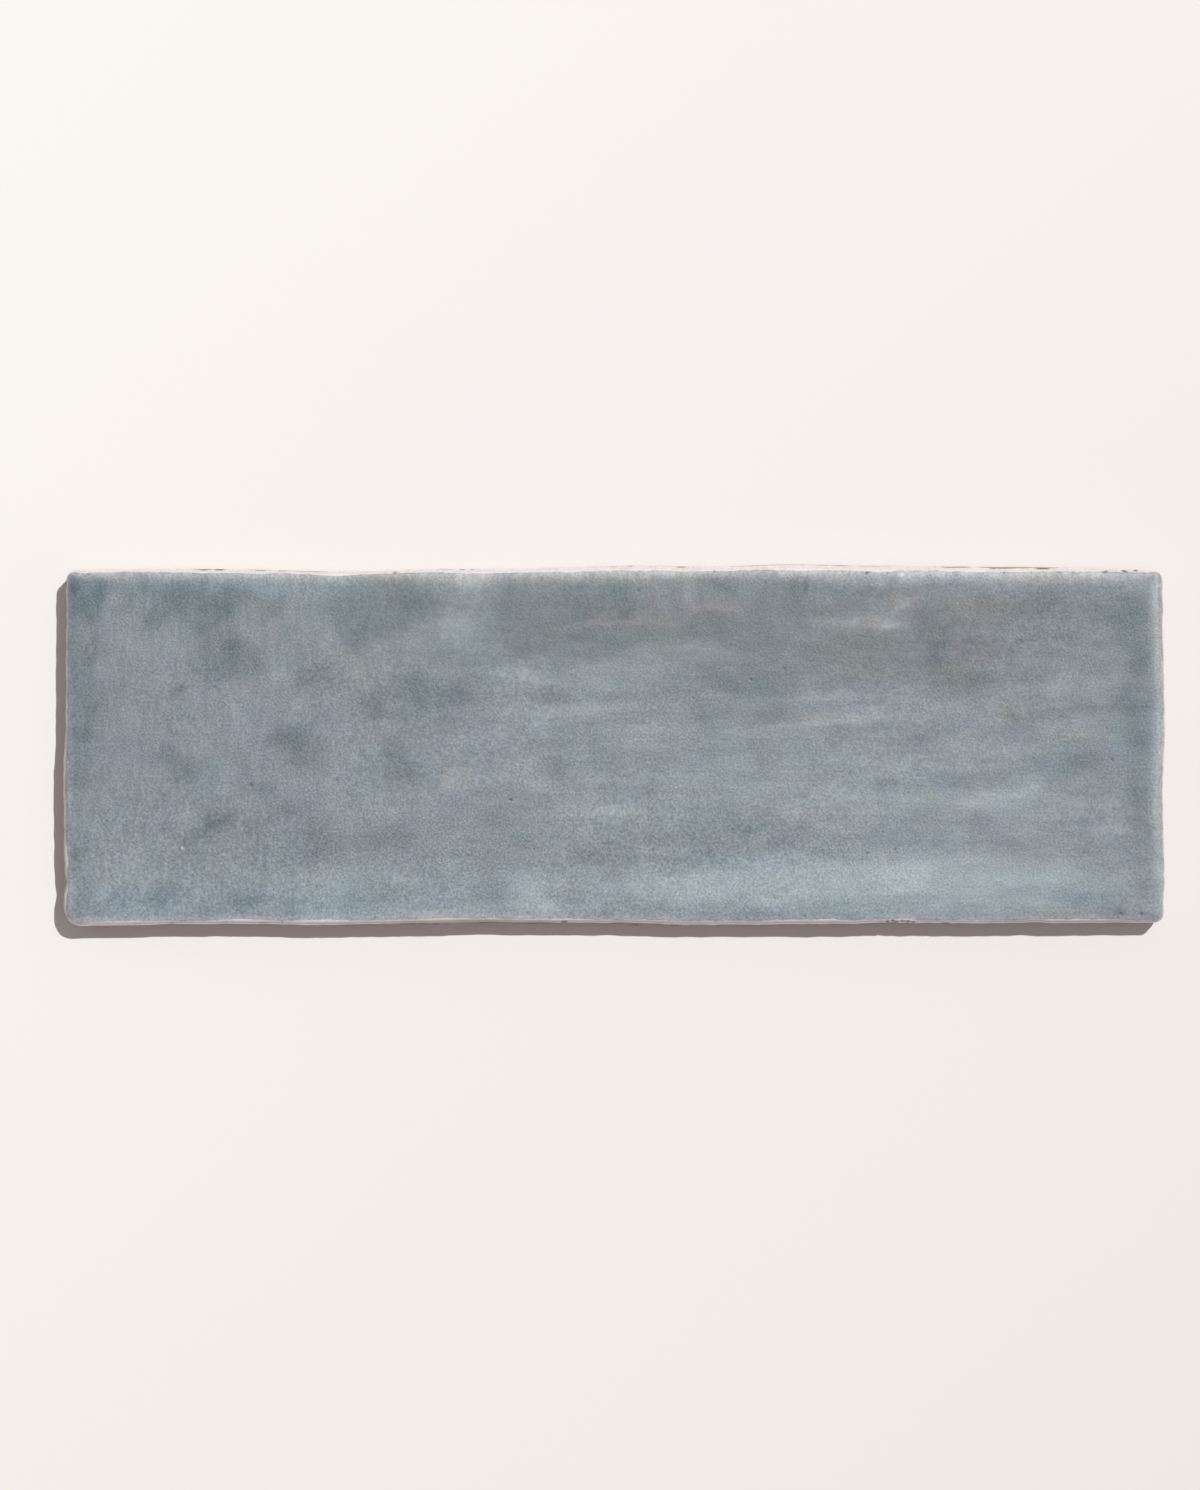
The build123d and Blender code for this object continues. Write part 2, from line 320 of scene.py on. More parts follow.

# How the glaze was brushed on, with painted shade along the left edge, and how far the pale frost and its
# painted sheen reach. A stroke is x, y, half length, half breadth, turn in degrees and the value that it
# brings its ground to. Later strokes lie over earlier ones. Tones and tints are in steps of 1/255.
glazeStrokes = {
    "falloff": 0.7,  # how fast a stroke gives way to its ground
    "drift": ((7.0, 1.3), (2.2, 0.7)),  # size and reach of the wander that makes the clouds ragged
    "driftSeed": 1,  # it comes out the same each run
    "washesAndEdgeShade": [  # tone: lighter or darker than the ground
        (0, 0, 150, 90, 0, 2.5), (35, 21, 62, 10.5, 0, -9), (35, -8, 55, 9, 0, 8), (-5, 8, 17, 6, 0, 5),
        (-78, 26, 8, 3, 0, -13), (-42, 25, 10, 5, 0, -12), (-36, 9, 10, 4, 0, -9), (-8, 24, 12, 6, 0, -15),
        (24, 25, 13, 4.5, 0, -14), (9.5, 22, 1.8, 6, 0, -7), (23, 20.7, 12, 2.3, 0, -15),
        (43, 15, 8, 4, 0, -11), (58.5, 18, 3, 7, 0, -11), (83.5, 26, 11.5, 3, 0, -12),
        # the wash at (-98, 8) is painted shade along the left edge, which turns away from the lamp
        (95, 8, 2.4, 20, 0, -10), (-98, 8, 3, 14, 0, -2), (42, -24.5, 38, 3.8, 2, 24),
        (-27, 27, 3, 5, 0, 3),
    ],
    "darkCloudsAndEdgeShade": [
        # the first six, along the left edge, are in part painted shade of the edge that turns away from the
        # lamp
        (-97, 27, 4, 3.5, 0, -26), (-97, 12, 2, 2.5, 0, -13), (-95, 7, 1.8, 1.5, 0, -16),
        (-97.5, 1.5, 2, 2, 0, -20), (-97, -5.5, 2, 2, 0, -17), (-97.5, -20.5, 1.5, 1.5, 0, -12),
        (-88, 28, 4, 1.2, 0, -13), (-80, 26.5, 3, 2.5, 0, -22), (-83.5, 23, 2.5, 1.5, 0, -18),
        (-71, 26, 2, 2.2, 0, -22), (-72.5, 23.5, 2, 1.5, 0, -17), (-66.5, 27, 2, 1.5, 0, -15),
        (-62, 25, 2, 2, 0, -13), (-74, 16.5, 3, 3, 0, -15), (-68, 14, 3, 2, 0, -18),
        (-69, 17.5, 3.2, 3, 0, -22), (-55, 12, 3, 2.2, 0, -16), (-57, -1.5, 4, 3, 0, -11),
        (-59, 2, 3.2, 2, 0, -22), (-79.5, 10.3, 1.5, 1, 0, -13), (-81.5, -2, 2, 2, 0, -11),
        (-79, -4.5, 1.5, 1.5, 0, -15), (-63.5, -8, 2, 1.3, 0, -12), (-74.5, -15.8, 1.8, 1.2, 30, -14),
        (-72, -14, 2.2, 1.8, 30, -21), (-77, -18, 3, 2, 0, -10), (-58, -12, 1.5, 1.2, 0, -13),
        (-54, -18, 3, 3, 0, -11), (-66, -18, 2, 2, 0, -9), (-82, -27, 2, 3, -20, -12),
        (-92, -28.5, 3, 1.5, 30, -10), (-67, -28.5, 4, 1.5, 0, -20), (-47, 20.5, 2.5, 2, 0, -17),
        (-35.5, 26, 3, 2, 0, -17), (-44, 7.5, 1.5, 2.5, 0, -16), (-35.5, 11.5, 1.8, 2, 0, -15),
        (-28, 10, 3, 1.3, 0, -16), (-32, 7, 3, 2, 0, -11), (-39.5, -2.5, 2.5, 3, 0, -15),
        (-37.5, -4, 2, 1.5, 0, -15), (-42, -17, 3, 2.5, 0, -11), (-38.5, -16.5, 2, 1.8, 0, -15),
        (-22, -13, 2.5, 1.5, 0, -9), (-22.5, -25, 2, 4, 0, -6), (-18.5, 26, 3, 2.5, 0, -18),
        (-6, 25.5, 1.5, 2.5, 0, -21), (-14.5, 19, 3, 2, 0, -15), (-3, 19, 3, 2, 0, -16),
        (-11.5, 9.5, 3, 1, -8, -12), (-11, -4, 1.5, 2.5, 0, -7), (-4, -20, 2, 1.5, 0, -5),
        (1.5, 26.5, 2.5, 2.5, 0, -23), (3, 20, 3, 2, 0, -16), (0.5, 17.5, 2, 1.5, 0, -15),
        (11.5, 26.5, 1.8, 3, 0, -11), (19.5, 29, 1.5, 1.2, 0, -18), (21.5, 26.5, 2, 1.5, 0, -13),
        (18.5, 21.2, 2, 1.5, 0, -20), (25, 22, 3, 1.5, 0, -18), (23, 18, 2, 1.5, 0, -13),
        (33.5, 26.5, 1.8, 3, 0, -23), (29, 27, 2, 1.5, 0, -17), (42, 27.5, 5, 1, 0, -11),
        (46, 27.5, 2, 1.5, 0, -13), (42, 17.5, 2, 1.5, 0, -13), (49, 18, 3, 2, 0, -15),
        (18.5, 11.5, 2, 1.5, 0, -16), (21, 11, 2, 1.5, 0, -16), (27, 12, 2.5, 2, 0, -12),
        (33.5, 12, 2, 1.5, 0, -15), (29, 8, 2.5, 4, 0, -11), (18, 7, 3, 1.5, 0, -6),
        (25, 1, 1.5, 1.5, 0, -5), (27.5, -3, 1.5, 1.5, 0, -4), (7, -8.5, 3, 1, 0, -2),
        (1, -20, 3, 3, 0, -6), (12, -16, 4, 2, 0, -4), (16, -18.5, 2, 1.5, 0, -5), (25, -15, 4, 1.2, 0, -4),
        (33, -15, 3, 1.5, 0, -3), (49, -7, 2, 1, 0, -4), (53.5, 28, 2, 1.5, 0, -11),
        (57, 21.5, 1.5, 2, 0, -18), (59.5, 18.5, 1.6, 2.2, 0, -20), (58.5, 16, 1.5, 1.5, 0, -18),
        (60.5, 13, 1.8, 1.5, 0, -18), (64.5, 11.7, 1.6, 1.6, 0, -20), (66.5, 26, 2, 1.5, 0, -13),
        (70.5, 21.5, 1.5, 1.5, 0, -12), (77.5, 26.5, 3, 1.8, 0, -16), (93.5, 23.5, 2, 2.5, 0, -21),
        (94, 19, 1.8, 1.8, 0, -17), (95, 15.5, 1.8, 1.8, 0, -20), (93.5, 7.5, 2, 2, 0, -20),
        (95, 1, 1.8, 2, 0, -13), (95, -9.5, 2, 2.5, 0, -13), (95, -16, 2, 3, 0, -7),
        (96, -25, 2.2, 4.5, 0, -7), (-96.5, -27, 2.5, 3.5, 0, -10), (88, 28.3, 6, 1.3, 0, -9),
        (84, 15, 3, 1.2, 0, -7), (56.5, 1.5, 2.5, 2, 45, -7), (84, -3.5, 5, 2, 0, -6),
        (84, -2, 1.8, 1.3, 0, -13), (87.5, -1.5, 2, 1.3, 0, -15), (62, -6, 4, 1.5, 0, -5),
        (70, -5.5, 4, 1.3, 0, -2), (66.5, -14, 2, 1.5, 0, -2), (86, -18.5, 2, 2.5, 0, -5),
        (84, -28, 4, 1.3, 0, -8), (92, -30, 1.5, 1.2, 0, -9), (-95, 16.5, 0.8, 2, -20, -18),
        (66.5, 12, 2, 1.3, 0, -19), (-75, 22, 2, 1.5, 0, -15), (-78, -22, 2.5, 2, 0, -6),
        (12, 11, 2.5, 1.2, 0, -7),
    ],
    "paleStreaks": [
        (-78, -12.5, 1.8, 1.8, 0, 10), (-70, -7.5, 1.5, 1.5, 0, 8), (-61.5, 13.5, 1.5, 2, 0, 9),
        (-84, 19, 4, 2, 0, 4), (-58, 24, 1.2, 5, 0, 3), (-65, 22, 2.5, 3, 0, 0), (-53, 17, 2, 2, 0, 5),
        (-58, 7.5, 3, 1.5, 0, 8), (-67, 7.5, 3, 2, 0, 2), (-75, 3, 2, 1.5, 0, 5), (-69, 2.5, 2, 1.5, 0, 5),
        (-88, -22, 6, 3, 0, 8), (-92, -20.5, 3, 1, 0, 10), (-72, -18, 2, 1.5, 0, 5),
        (-93, -26, 2, 1.5, 0, 9), (-51, -4.5, 1.5, 3, 0, 9), (-56, -25, 6, 2.5, 0, 11),
        (-50, -25.5, 2.5, 3, 0, 14), (-27, 20, 5, 4, 0, 6), (-28.5, 21.5, 2.5, 2, 0, 19),
        (-35.5, 19.5, 2, 2, 0, 6), (-42.5, 16, 1.5, 2, 0, 5), (-46.5, 12.5, 2.5, 2, 0, 3),
        (-17.5, 12, 4, 1.8, 0, 21), (-3, 13, 4, 1.8, 0, 17), (-13, 5, 1.8, 1.5, 0, 12),
        (-7, 6, 6, 1, 5, 12), (-19.5, 2.5, 2, 2.5, 0, 9), (-29, -6, 2, 1.3, 0, 17), (-24, -6, 4, 1, 0, 9),
        (-17, -4.5, 1.5, 2, 0, 10), (-13, -8, 2, 1.5, 0, 9), (-40, -11.5, 5, 1.2, 0, 5),
        (0, -12.3, 6, 1.3, 0, 20), (-28, -22.5, 4, 2, 0, 9), (-38, -25, 3, 2, 0, 7),
        (-15.5, -27, 2.5, 2.5, 0, 25), (-12.5, -30, 2, 1.5, 0, 26), (-9, -25.5, 1.5, 1, 0, 12),
        (-4.5, -24.5, 2, 1.5, 0, 10), (43, 22, 5, 1.2, 0, 4), (49.5, 22.2, 2.2, 1, 0, 19),
        (52.5, 25, 2.5, 1.5, 25, 6), (13.5, 27, 1, 2, 0, 3), (15, 17, 5, 1.5, 0, 3), (2, 13, 5, 1.5, 0, 9),
        (4.5, 2.5, 5, 1.3, 0, 18), (12, 3.5, 2, 1.2, 0, 7), (40, 4.5, 8, 0.9, 5, 12),
        (47, 5.5, 2, 1.2, 0, 14), (38, 9, 4, 1.5, 0, 5), (14, -6, 5, 1.5, 0, 15),
        (19, -6.3, 1.8, 1.2, 0, 16), (23, -9, 3, 2, 0, 14), (38, -10, 6, 1.5, 0, 16),
        (44.5, -10.8, 1.5, 1.5, 0, 19), (33, -11.5, 2, 1.5, 0, 14), (47, -4, 4, 1, 0, 12),
        (53, -3.5, 3, 1.5, 0, 12), (63.5, -2, 2, 2, 0, 8), (60, 7, 4, 1.5, 0, 6), (70, 6, 2, 1.2, 0, 10),
        (82, 10.5, 3, 2, 0, 6), (88, 10.5, 2, 1.5, 0, 5), (80, 2.5, 2, 1, 0, 8), (88, 2.5, 4, 1.5, 0, 5),
        (70, -10.2, 4.5, 1.5, 0, 20), (76, -8, 1.5, 1.8, 0, 12), (57, -10.5, 3, 1, 0, 14),
        (74.5, -16, 2.5, 1.6, 0, 14), (92, -13, 2.2, 2, 0, 12), (73.5, 4, 2.5, 1.2, 0, -9),
        (79, 5.2, 4, 0.9, 6, -6), (88, 7, 5, 0.8, 6, -5), (6.5, -26.5, 2, 1.5, 0, 15),
        (13.5, -26, 4, 2, 0, 23), (21, -23.5, 4, 1.5, 12, 23), (30, -23, 5, 2, 0, 25),
        (28, -27, 2.5, 1.5, 0, 25), (35, -25, 3, 2, 0, 23), (42, -23, 4, 2, 0, 23),
        (48.5, -23, 4, 2.2, 0, 31), (55.5, -23.5, 3.5, 2.5, 0, 33), (58, -26.5, 2.5, 2, 0, 27),
        (64, -22, 5, 2, 0, 23), (66, -26, 4, 2, 0, 27), (72, -25, 2.5, 2, 0, 21), (79.5, -24, 4, 2, 0, 17),
        (77, -28, 3, 1.5, 0, 17), (53, -28.5, 4, 1.2, 0, 11), (70, -28, 8, 2, 0, 17),
        (-30, -30.3, 12, 1.2, 0, 14), (-86, -30.5, 5, 1, 0, 10), (-50, -30.5, 6, 1, 0, 12),
        (50, -30.5, 14, 0.9, 0, 10), (-45, -1, 1.8, 1.5, 0, 10), (84, 2, 2, 1, 0, 11),
        (30, -15, 2, 1.3, 0, 5), (6.5, -20, 2.5, 1.5, 0, 8), (8, 16, 3, 1.3, 0, 9),
        (50, -12, 2.5, 1.3, 0, 14), (20, -10, 2.5, 1.5, 0, 13),
    ],
    "cloudStrength": 1.1,
    "edgePale": [(1, 8.0, 6.0), (-1, 12.0, 6.0)],  # the coat pales to the long edges: side, from, by
    "edgePaleOver": 3.0,
    "brushMarks": [  # small marks and single drags of the brush
        (-98.3, 28.8, 0.8, 0.8, 0, -36), (-93.5, 27.6, 1.1, 1.6, 0, -28), (-94, 24.8, 0.5, 1.6, -10, -24),
        (-95.4, 23, 0.8, 0.9, 0, -24), (-85.4, 28.5, 0.8, 1.1, 0, -17), (-84.2, 23, 0.8, 1.2, 0, -20),
        (-80.1, 26.6, 1, 1.2, 0, -25), (-75.2, 26.7, 0.7, 1.1, 0, -22), (-69.9, 24.6, 0.9, 0.9, 0, -26),
        (-94.6, 16.4, 0.8, 1.2, 0, -21), (-61.4, 23.9, 0.8, 0.9, 0, -14), (-47.1, 23.7, 0.7, 1.1, 0, -20),
        (-47.4, 20.3, 0.9, 0.7, 0, -22), (-28.9, 28.7, 1.2, 0.6, 0, -1), (-19.2, 27.6, 0.9, 1.2, 0, -18),
        (-6, 25.2, 0.9, 0.9, 0, -26), (-10.5, 25.5, 0.5, 0.7, 0, -20), (-8.2, 22.3, 0.45, 0.35, 0, -24),
        (-15, 19.8, 1.2, 0.5, 0, -17), (-2.2, 18.9, 0.9, 0.8, 0, -18), (17, 20.5, 2, 0.7, 0, -19),
        (18.6, 29.6, 1, 0.55, -8, -20), (20.2, 28.7, 1.3, 0.3, -25, -24), (22.1, 28, 0.3, 0.7, 0, -20),
        (32.6, 27.1, 0.7, 2.2, 0, -24), (33, 25, 0.9, 0.6, 0, -25), (34.9, 28.9, 0.35, 1.2, 0, -26),
        (34.7, 22.7, 0.4, 1, 0, -18), (36.4, 26.2, 0.45, 0.5, 0, -17), (55.5, 22, 0.9, 0.9, 0, -17),
        (50, 18.7, 0.8, 0.9, 0, -17), (93.6, 25.1, 1, 1.8, 0, -21), (95.9, 15.2, 0.7, 0.8, 0, -22),
        (70.7, 25.6, 0.7, 0.4, 0, -18), (73.9, 18.9, 0.6, 0.25, 15, -24), (66.3, 18.3, 0.8, 0.22, -15, -16),
        (20.2, 26, 0.25, 0.7, 0, -16), (-84.7, 25.5, 0.3, 0.7, 0, 8), (-88.3, 19.6, 0.35, 0.9, 0, 14),
        (-84.5, 16.5, 0.35, 1.2, -20, 12), (-92.4, 18.5, 0.7, 0.6, 0, 4), (-95.4, 17, 0.25, 1.6, -35, 4),
        (-73.1, 28.7, 1.2, 1, 0, 5), (-70.4, 30.5, 1.1, 0.7, 0, 28), (-65, 23.4, 0.4, 0.5, 0, 8),
        (-64.1, 20.1, 1.3, 1.1, 0, 4), (-26.2, 30, 1.6, 0.9, 0, 42), (-28.2, 22.1, 1, 0.6, 0, 19),
        (-24.3, 23, 1, 0.8, 0, 7), (-2.6, 22.8, 1.1, 0.6, 0, -6), (14.8, 24.6, 0.7, 0.5, 0, -2),
        (20.2, 24.6, 0.9, 0.5, 0, -3), (8.9, 25.5, 0.7, 0.6, 0, -1), (49.6, 21.8, 1, 0.55, 0, 29),
        (52.8, 25.5, 1.2, 0.6, 10, 17), (51.2, 24.4, 0.35, 0.5, 0, 14), (-96.1, 20.8, 0.5, 0.6, 0, -2),
        (98.3, 26.8, 0.6, 1.8, 0, 21), (37, 4.1, 10, 0.45, 5.5, 19), (45, 8.6, 9, 0.5, 0, 12),
        (2, 2.2, 6, 0.5, 4, 16), (-7, 6.1, 7, 0.5, 4, 15), (48.6, 22.2, 2.6, 0.6, 0, 24),
        (44, 22.6, 6, 0.5, 0, 10), (18, 25.2, 5, 0.5, -4, 1), (-1, 22.2, 5, 0.5, 2, -1),
        (66, -10.4, 5, 0.6, 0, 22), (70, -9.4, 4, 0.5, 4, 22), (31.2, 27.5, 0.6, 2, 0, -19),
        (84, 6.4, 8, 0.5, 5, -8), (42.5, 4.6, 4, 0.5, 5, 24), (-29, -6, 1.6, 0.9, 0, 21),
        (-13, 24, 1.2, 0.8, 0, -9),
    ],
    "tints": [  # warm grey where it is above 0, blue where it is below
        (0, 0, 150, 90, 0, -3.0), (25, 23, 38, 9, 0, 3), (0, -28, 105, 4, 0, -4), (75, -20, 30, 9, 0, -4),
        (10, 22, 10, 5, 0, 4), (0, 23, 6, 2, 0, 8), (18, 24.5, 6, 2, -5, 11), (60, 22, 16, 8, 0, 5),
        (53, 26, 2.5, 1.5, 0, 10), (46, 20.5, 7, 2, 0, 7), (43, 16.3, 5, 3, 0, 9.5), (30, 15, 4, 2, 0, 4),
        (65, 17, 6, 4, 0, 9), (66, 25, 6, 2.5, 0, 9), (-65, 22, 3, 4, 0, 6), (-62, 9, 6, 2, 0, 2),
        (-45, 12, 3, 3, 0, 5), (-43, 2, 2.5, 3, 0, 4), (-28, -6, 3, 1.5, 0, 5), (-14, 25, 2, 4, 0, 5),
        (38, 5, 8, 1, 0, 4), (72, 6, 3, 1.5, 0, 5), (84, 2, 4, 1.2, 0, 5), (35, -12, 8, 2, 0, 4),
        (-96, 27, 3, 4, 0, -8), (-82, 28, 5, 2, 0, -6), (-70, 28, 4, 2, 0, -7), (-50, 28, 5, 2, 0, -5),
        (-97, -10, 2, 20, 0, -4), (-70, -29, 30, 2.5, 0, -6), (-85, -28, 9, 2.5, 0, -11),
        (-67, -28.5, 6, 2, 0, -10), (-52, -28, 7, 2, 0, -10), (-23, -26.5, 4, 2.5, 0, -10),
        (-30, -28, 8, 1.5, 0, -7), (-4, -29, 3, 1.2, 0, -8), (8, -29, 8, 1.5, 0, -7),
        (24, -21, 10, 1.3, 0, -9), (40, -29, 45, 1.8, 0, -5), (75, -13, 24, 8, 0, -3),
        (54, -18, 4, 2.5, 0, -11), (60, -15, 8, 4, 0, -5), (60, -6, 6, 2, 0, -7),
        (82, -3.5, 7, 1.3, 20, -7), (95, 5, 2.5, 10, 0, -5), (85, -28, 4, 1.2, 0, -8),
        (95, 27, 3, 4, 0, -4), (58, 3, 3, 3, 0, -5), (-2.6, 22.8, 1.3, 0.8, 0, 11),
        (14.8, 24.6, 1, 0.6, 0, 11), (20.2, 24.5, 1.3, 0.6, 0, 11), (49, 22, 2.8, 1, 0, 13),
        (52.8, 25.5, 1.3, 0.7, 0, 13), (56.9, 20.8, 1, 0.9, 0, 10), (70.9, 25.6, 1.2, 0.5, 0, 9),
        (-96.1, 20.8, 0.7, 0.7, 0, 5), (-97.1, 23.5, 0.6, 0.7, 0, 3), (-64.1, 20.1, 1.6, 1.6, 0, 5),
        (-40.6, 30.5, 0.9, 0.7, 0, 5), (60, 18, 2, 3, 0, 2), (0, -12.3, 6, 1.5, 0, 1),
        (-17, 12, 4, 2, 0, 0), (-29, 21.5, 3, 2, 0, 0), (-7, 6.2, 6, 1.2, 4, 0), (12, 11, 3, 2, 0, 0),
        (57, 30.5, 17, 1.8, 0, -8), (92, 30, 4, 1.6, 0, -7), (10, 30.8, 3, 1.2, 0, -5),
        (-65, 29.6, 6, 1.5, 0, -8), (85, -31, 7, 1, 0, 2),
    ],
    "greens": [  # green where it is above 0, lavender where it is below
        (0, 0, 150, 90, 0, 1.0), (0, -25, 110, 6, 0, 2.1), (-60, 25, 26, 7, 0, 2.4),
        (-15, 17, 38, 11, 0, 2.6), (-52, 18, 5, 5, 0, 2.8), (-50, -30, 45, 2.5, 0, 2.4),
        (18, -2, 45, 12, 0, 1.8), (-50, -4, 26, 11, 0, -0.2), (0, -21, 10, 6, 0, 1.0),
        (60, 24, 16, 7, 0, -0.8), (66, 17, 6, 4, 0, -2.6), (42, 14, 8, 4, 0, -0.6),
        (-64, 21, 3, 2.5, 0, -0.5), (15, 25, 8, 1.2, 0, -1.6), (80, 8, 5, 4, 0, 0), (70, -8, 20, 5, 0, 1.8),
        (20, 28.5, 16, 2, 0, 3.2), (0, 18, 5, 3, 0, 3.2), (60, 12, 10, 2, 0, 2.2), (-40, 0, 8, 8, 0, 1.4),
        (33, 27, 4, 4, 0, 3), (8, 27, 6, 2.5, 0, 2.4), (-28, 19, 5, 3, 0, 3.4), (-73, 28.7, 1.5, 1.2, 0, 4),
        (14, 27.3, 1.5, 1.5, 0, -1), (15, 24.8, 10, 1.8, -3, -2.6), (-6, 22.8, 9, 1.8, 0, -0.2),
        (60, 18, 2.5, 3, 0, 2), (49, 22, 3, 1.2, 0, -1.5),
    ],
    "darkTeal": (0.035, 0.07),  # how fast the dark clouds run to blue and to green
    "downBrushed": [  # where the brush ran down the tile, 0, and not along it, 1
        (-85, 0, 42, 60, 0, 0), (0, 31, 120, 6, 0, 0.2),
    ],
    "grainAreas": [  # how strongly the crystal grain shows
        (0, 0, 150, 90, 0, 1.1), (-30, -22, 85, 13, 0, 1.3), (30, 5, 40, 9, 0, 0.98),
        (-5, 22, 45, 9, 0, 0.62), (50, 22, 20, 9, 0, 0.72), (-88, 22, 12, 10, 0, 1.0),
        (75, -12, 20, 22, 0, 0.95),
    ],
    "frostAndSheenPatches": [  # how far the pale frost and its painted sheen reach in along the edges, as a share of their usual reach
        (-91, 32, 12, 4, 0, 1.0), (-57, 32, 12, 4, 0, 1.35), (-26, 32, 5, 5, 0, 1.6),
        (22, 32, 14, 5, 0, 0.75), (48, 32, 8, 5, 0, 1.6), (80, 32, 14, 5, 0, 1.5), (-100, -8, 4, 5, 0, 1.6),
        (-100, -27, 4, 4, 0, 1.8), (100, 8, 4, 6, 0, 0.85), (100, -9, 5, 6, 0, 1.35),
        (100, -29, 4, 5, 0, 0.6), (-30, -32, 12, 4, 0, 1.5), (66, -32, 12, 3, 0, 0.7),
        (100, 23, 5, 5, 0, 1.25),
    ],
    "frostAndSheenStrengths": [  # and how strong it is there
        (100, 22, 5, 6, 0, 0.72), (100, 8, 5, 7, 0, 0.85), (100, -9, 5, 6, 0, 0.82),
        (-88, 32, 8, 5, 0, 0.82), (-75, 32, 9, 5, 0, 0.75), (-48, 32, 9, 5, 0, 0.55),
        (-38, 32, 5, 5, 0, 0.65), (-20, 32, 4, 5, 0, 0.7), (28, -32, 15, 5, 0, 0.6),
        (87, -32, 8, 5, 0, 0.5), (85, 32, 4, 4, 0, 1.25), (92.5, 32, 2.5, 4, 0, 0.6),
        (-65, 32, 4, 4, 0, 0.7), (25, 32.5, 4, 4, 0, 0.75), (60, 32, 4, 4, 0, 1.2),
    ],
}
# Brown marks along the long edges: chips and dark lines at the clay's outer edge, and along the lower edge
# painted shade on the wall under the rim, which lies in shadow
edgeScarsAndShade = {
    "scarsAndShade": [  # side, from, to, depth, strength
        (1, -75.4, -73.6, 0.35, 0.7), (1, -72.7, -70.6, 0.4, 1.0), (1, -65.2, -63.4, 0.35, 0.5),
        (1, -61.2, -59.6, 0.4, 0.5), (1, -38.2, -36.8, 0.35, 0.4), (1, -33.0, -28.5, 0.35, 0.35),
        (1, -28.2, -26.8, 0.4, 0.6), (1, -26.2, -25.2, 0.4, 0.6), (1, -0.9, 0.5, 0.35, 0.4),
        (1, 2.4, 3.8, 0.35, 0.4), (1, 11.2, 13.4, 0.35, 0.7), (1, 22, 36, 0.3, 0.25),
        (1, 36.5, 39.5, 0.3, 0.35), (1, 44, 52, 0.3, 0.25), (1, 59.0, 65.5, 0.35, 0.75),
        (1, 68.2, 69.8, 0.35, 0.7), (1, 73.8, 76.2, 0.3, 0.3), (1, 76.4, 79.6, 0.4, 0.9),
        # the long runs on side -1 are painted shade of the lower wall under the rim
        (1, -96, 97, 0.35, 0.06), (-1, -100, 100, 0.8, 0.2), (-1, -96, -84, 0.8, 0.22),
        (-1, 5, 44, 0.8, 0.26), (-1, 66, 98, 0.8, 0.28), (-1, -81.5, -79.5, 0.5, 0.5),
        (-1, -65.2, -62.5, 0.6, 0.4), (-1, -53.8, -52.4, 0.35, 0.5), (-1, -49.4, -46, 0.3, 0.5),
        (-1, -9.7, -8.2, 0.5, 0.8), (-1, 52.2, 56, 0.5, 0.3), (-1, 59.4, 61.5, 0.3, 0.8),
        # the runs on side -1 below are painted shade on the wall where it swells out under the lower rim
        (-1, -42, -9, 0.4, 0.42), (-1, -45, -21, 0.08, 0.9), (-1, -23, -7, 0.08, 0.7),
        (-1, -2, 10, 0.08, 0.9), (-1, 8, 23, 0.08, 0.7), (-1, 21, 37, 0.08, 0.5),
        (-1, 35.5, 40.5, 0.08, 0.8), (-1, 39, 50, 0.08, 0.6), (-1, 75.2, 78.8, 0.08, 0.8),
    ],
    "taper": (2.0, 0.25),  # a scar's ends fade over this length, or over this share of it where that is less
    "soft": 0.2,  # and its inner side over this
    "drop": (0.8, 0.7, 1.6),  # how far it runs down the wall, how much that varies, and over what length
    "dropSoft": 0.5,
}

print("tile: glaze clouds")
places = np.empty(len(tileMesh.vertices) * 3)
tileMesh.vertices.foreach_get("co", places)
places = places.reshape(-1, 3) / mm
drifted = places.copy()
noise.seed_set(glazeStrokes["driftSeed"])
for size, reach in glazeStrokes["drift"]:
    drifted += reach * np.array([noise.noise_vector(Vector(p) / size) for p in places])
insets = np.empty(len(places), dtype=np.float32)
tileMesh.attributes["rimInset"].data.foreach_get("value", insets)


def brushed(spots, strokes, hardness=1, ground=0):  # each stroke brings the ground to its own value
    value = np.zeros(len(spots)) + ground
    for x, y, length, breadth, turn, target in strokes:
        c = math.cos(math.radians(turn))
        s = math.sin(math.radians(turn))
        along = ((spots[:, 0] - x) * c + (spots[:, 1] - y) * s) / length
        across = ((spots[:, 1] - y) * c - (spots[:, 0] - x) * s) / breadth
        value += (target - value) * np.exp(-glazeStrokes["falloff"] * (along ** 2 + across ** 2) ** hardness)
    return value


def scarredAndShaded():
    total = np.zeros(len(places))
    longest, share = edgeScarsAndShade["taper"]
    for side, start, end, depth, strength in edgeScarsAndShade["scarsAndShade"]:
        fromEnd = np.minimum(places[:, 0] - start, end - places[:, 0])
        within = np.clip(fromEnd / min(longest, (end - start) * share), 0, 1) * (places[:, 1] * side > 0)
        total = np.maximum(total, strength * within * np.clip((depth - insets) / edgeScarsAndShade["soft"], 0, 1))
    return total


def paint(name, values):
    tileMesh.attributes.new(name, "FLOAT", "POINT").data.foreach_set("value", values.astype(np.float32))


